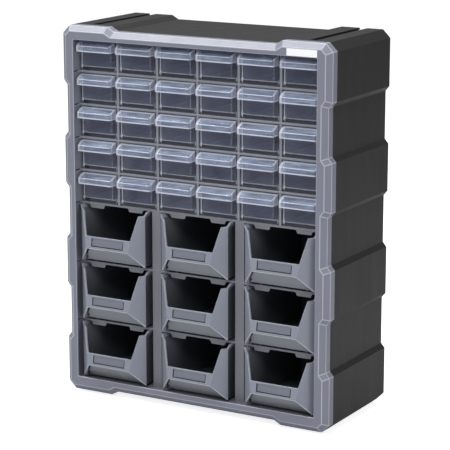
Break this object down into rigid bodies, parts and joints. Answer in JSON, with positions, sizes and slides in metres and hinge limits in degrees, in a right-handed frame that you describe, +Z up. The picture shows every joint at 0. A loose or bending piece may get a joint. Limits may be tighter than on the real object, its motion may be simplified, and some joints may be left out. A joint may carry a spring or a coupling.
{
  "type": "parts bin cabinet",
  "caption": "Wall or bench cabinet: stepped black housing with a grey front frame, clear drawers with hooded pulls above open-front bins, each sliding out to its own stop.",
  "frame": {"origin": "middle of the footprint, at the height of the rails' undersides on which the cabinet stands", "axes": "+X to the right seen from the front, +Y from the front to the back, +Z up"},
  "size_m": [0.38, 0.168, 0.479],
  "materials": {
    "housing_black": "satin black moulded plastic with a fine grain",
    "frame_grey": "satin blue-grey moulded plastic",
    "rack_grey": "satin blue-grey moulded plastic",
    "bin_grey": "satin grey moulded plastic with a fine grain",
    "drawer_clear": "clear slightly blue moulded plastic, polished",
    "label_white": "blank satin white label"
  },
  "bodies": {
    "cabinet": {"housing": "housing_black", "back_panel": "housing_black", "front_frame": "frame_grey", "blank_label": "label_white", "base_shelf": "rack_grey", "drawer_tier_1": "rack_grey", "drawer_tier_2": "rack_grey", "drawer_tier_3": "rack_grey", "drawer_tier_4": "rack_grey", "drawer_tier_5": "rack_grey", "bin_tier_1": "rack_grey", "bin_tier_2": "rack_grey", "bin_tier_3": "rack_grey"},
    "drawer_r1_c1": {"drawer_r1_c1": "drawer_clear"},
    "drawer_r1_c2": {"drawer_r1_c2": "drawer_clear"},
    "drawer_r1_c3": {"drawer_r1_c3": "drawer_clear"},
    "drawer_r1_c4": {"drawer_r1_c4": "drawer_clear"},
    "drawer_r1_c5": {"drawer_r1_c5": "drawer_clear"},
    "drawer_r1_c6": {"drawer_r1_c6": "drawer_clear"},
    "drawer_r2_c1": {"drawer_r2_c1": "drawer_clear"},
    "drawer_r2_c2": {"drawer_r2_c2": "drawer_clear"},
    "drawer_r2_c3": {"drawer_r2_c3": "drawer_clear"},
    "drawer_r2_c4": {"drawer_r2_c4": "drawer_clear"},
    "drawer_r2_c5": {"drawer_r2_c5": "drawer_clear"},
    "drawer_r2_c6": {"drawer_r2_c6": "drawer_clear"},
    "drawer_r3_c1": {"drawer_r3_c1": "drawer_clear"},
    "drawer_r3_c2": {"drawer_r3_c2": "drawer_clear"},
    "drawer_r3_c3": {"drawer_r3_c3": "drawer_clear"},
    "drawer_r3_c4": {"drawer_r3_c4": "drawer_clear"},
    "drawer_r3_c5": {"drawer_r3_c5": "drawer_clear"},
    "drawer_r3_c6": {"drawer_r3_c6": "drawer_clear"},
    "drawer_r4_c1": {"drawer_r4_c1": "drawer_clear"},
    "drawer_r4_c2": {"drawer_r4_c2": "drawer_clear"},
    "drawer_r4_c3": {"drawer_r4_c3": "drawer_clear"},
    "drawer_r4_c4": {"drawer_r4_c4": "drawer_clear"},
    "drawer_r4_c5": {"drawer_r4_c5": "drawer_clear"},
    "drawer_r4_c6": {"drawer_r4_c6": "drawer_clear"},
    "drawer_r5_c1": {"drawer_r5_c1": "drawer_clear"},
    "drawer_r5_c2": {"drawer_r5_c2": "drawer_clear"},
    "drawer_r5_c3": {"drawer_r5_c3": "drawer_clear"},
    "drawer_r5_c4": {"drawer_r5_c4": "drawer_clear"},
    "drawer_r5_c5": {"drawer_r5_c5": "drawer_clear"},
    "drawer_r5_c6": {"drawer_r5_c6": "drawer_clear"},
    "bin_r1_c1": {"bin_r1_c1": "bin_grey"},
    "bin_r1_c2": {"bin_r1_c2": "bin_grey"},
    "bin_r1_c3": {"bin_r1_c3": "bin_grey"},
    "bin_r2_c1": {"bin_r2_c1": "bin_grey"},
    "bin_r2_c2": {"bin_r2_c2": "bin_grey"},
    "bin_r2_c3": {"bin_r2_c3": "bin_grey"},
    "bin_r3_c1": {"bin_r3_c1": "bin_grey"},
    "bin_r3_c2": {"bin_r3_c2": "bin_grey"},
    "bin_r3_c3": {"bin_r3_c3": "bin_grey"}
  },
  "joints": [
    {"name": "drawer_r1_c1_slide", "type": "slide", "parent": "cabinet", "child": "drawer_r1_c1", "axis": [0, -1, 0], "range_m": [0, 0.127]},
    {"name": "drawer_r1_c2_slide", "type": "slide", "parent": "cabinet", "child": "drawer_r1_c2", "axis": [0, -1, 0], "range_m": [0, 0.127]},
    {"name": "drawer_r1_c3_slide", "type": "slide", "parent": "cabinet", "child": "drawer_r1_c3", "axis": [0, -1, 0], "range_m": [0, 0.127]},
    {"name": "drawer_r1_c4_slide", "type": "slide", "parent": "cabinet", "child": "drawer_r1_c4", "axis": [0, -1, 0], "range_m": [0, 0.127]},
    {"name": "drawer_r1_c5_slide", "type": "slide", "parent": "cabinet", "child": "drawer_r1_c5", "axis": [0, -1, 0], "range_m": [0, 0.127]},
    {"name": "drawer_r1_c6_slide", "type": "slide", "parent": "cabinet", "child": "drawer_r1_c6", "axis": [0, -1, 0], "range_m": [0, 0.127]},
    {"name": "drawer_r2_c1_slide", "type": "slide", "parent": "cabinet", "child": "drawer_r2_c1", "axis": [0, -1, 0], "range_m": [0, 0.127]},
    {"name": "drawer_r2_c2_slide", "type": "slide", "parent": "cabinet", "child": "drawer_r2_c2", "axis": [0, -1, 0], "range_m": [0, 0.127]},
    {"name": "drawer_r2_c3_slide", "type": "slide", "parent": "cabinet", "child": "drawer_r2_c3", "axis": [0, -1, 0], "range_m": [0, 0.127]},
    {"name": "drawer_r2_c4_slide", "type": "slide", "parent": "cabinet", "child": "drawer_r2_c4", "axis": [0, -1, 0], "range_m": [0, 0.127]},
    {"name": "drawer_r2_c5_slide", "type": "slide", "parent": "cabinet", "child": "drawer_r2_c5", "axis": [0, -1, 0], "range_m": [0, 0.127]},
    {"name": "drawer_r2_c6_slide", "type": "slide", "parent": "cabinet", "child": "drawer_r2_c6", "axis": [0, -1, 0], "range_m": [0, 0.127]},
    {"name": "drawer_r3_c1_slide", "type": "slide", "parent": "cabinet", "child": "drawer_r3_c1", "axis": [0, -1, 0], "range_m": [0, 0.127]},
    {"name": "drawer_r3_c2_slide", "type": "slide", "parent": "cabinet", "child": "drawer_r3_c2", "axis": [0, -1, 0], "range_m": [0, 0.127]},
    {"name": "drawer_r3_c3_slide", "type": "slide", "parent": "cabinet", "child": "drawer_r3_c3", "axis": [0, -1, 0], "range_m": [0, 0.127]},
    {"name": "drawer_r3_c4_slide", "type": "slide", "parent": "cabinet", "child": "drawer_r3_c4", "axis": [0, -1, 0], "range_m": [0, 0.127]},
    {"name": "drawer_r3_c5_slide", "type": "slide", "parent": "cabinet", "child": "drawer_r3_c5", "axis": [0, -1, 0], "range_m": [0, 0.127]},
    {"name": "drawer_r3_c6_slide", "type": "slide", "parent": "cabinet", "child": "drawer_r3_c6", "axis": [0, -1, 0], "range_m": [0, 0.127]},
    {"name": "drawer_r4_c1_slide", "type": "slide", "parent": "cabinet", "child": "drawer_r4_c1", "axis": [0, -1, 0], "range_m": [0, 0.127]},
    {"name": "drawer_r4_c2_slide", "type": "slide", "parent": "cabinet", "child": "drawer_r4_c2", "axis": [0, -1, 0], "range_m": [0, 0.127]},
    {"name": "drawer_r4_c3_slide", "type": "slide", "parent": "cabinet", "child": "drawer_r4_c3", "axis": [0, -1, 0], "range_m": [0, 0.127]},
    {"name": "drawer_r4_c4_slide", "type": "slide", "parent": "cabinet", "child": "drawer_r4_c4", "axis": [0, -1, 0], "range_m": [0, 0.127]},
    {"name": "drawer_r4_c5_slide", "type": "slide", "parent": "cabinet", "child": "drawer_r4_c5", "axis": [0, -1, 0], "range_m": [0, 0.127]},
    {"name": "drawer_r4_c6_slide", "type": "slide", "parent": "cabinet", "child": "drawer_r4_c6", "axis": [0, -1, 0], "range_m": [0, 0.127]},
    {"name": "drawer_r5_c1_slide", "type": "slide", "parent": "cabinet", "child": "drawer_r5_c1", "axis": [0, -1, 0], "range_m": [0, 0.127]},
    {"name": "drawer_r5_c2_slide", "type": "slide", "parent": "cabinet", "child": "drawer_r5_c2", "axis": [0, -1, 0], "range_m": [0, 0.127]},
    {"name": "drawer_r5_c3_slide", "type": "slide", "parent": "cabinet", "child": "drawer_r5_c3", "axis": [0, -1, 0], "range_m": [0, 0.127]},
    {"name": "drawer_r5_c4_slide", "type": "slide", "parent": "cabinet", "child": "drawer_r5_c4", "axis": [0, -1, 0], "range_m": [0, 0.127]},
    {"name": "drawer_r5_c5_slide", "type": "slide", "parent": "cabinet", "child": "drawer_r5_c5", "axis": [0, -1, 0], "range_m": [0, 0.127]},
    {"name": "drawer_r5_c6_slide", "type": "slide", "parent": "cabinet", "child": "drawer_r5_c6", "axis": [0, -1, 0], "range_m": [0, 0.127]},
    {"name": "bin_r1_c1_slide", "type": "slide", "parent": "cabinet", "child": "bin_r1_c1", "axis": [0, -1, 0], "range_m": [0, 0.129]},
    {"name": "bin_r1_c2_slide", "type": "slide", "parent": "cabinet", "child": "bin_r1_c2", "axis": [0, -1, 0], "range_m": [0, 0.129]},
    {"name": "bin_r1_c3_slide", "type": "slide", "parent": "cabinet", "child": "bin_r1_c3", "axis": [0, -1, 0], "range_m": [0, 0.129]},
    {"name": "bin_r2_c1_slide", "type": "slide", "parent": "cabinet", "child": "bin_r2_c1", "axis": [0, -1, 0], "range_m": [0, 0.129]},
    {"name": "bin_r2_c2_slide", "type": "slide", "parent": "cabinet", "child": "bin_r2_c2", "axis": [0, -1, 0], "range_m": [0, 0.129]},
    {"name": "bin_r2_c3_slide", "type": "slide", "parent": "cabinet", "child": "bin_r2_c3", "axis": [0, -1, 0], "range_m": [0, 0.129]},
    {"name": "bin_r3_c1_slide", "type": "slide", "parent": "cabinet", "child": "bin_r3_c1", "axis": [0, -1, 0], "range_m": [0, 0.129]},
    {"name": "bin_r3_c2_slide", "type": "slide", "parent": "cabinet", "child": "bin_r3_c2", "axis": [0, -1, 0], "range_m": [0, 0.129]},
    {"name": "bin_r3_c3_slide", "type": "slide", "parent": "cabinet", "child": "bin_r3_c3", "axis": [0, -1, 0], "range_m": [0, 0.129]}
  ]
}
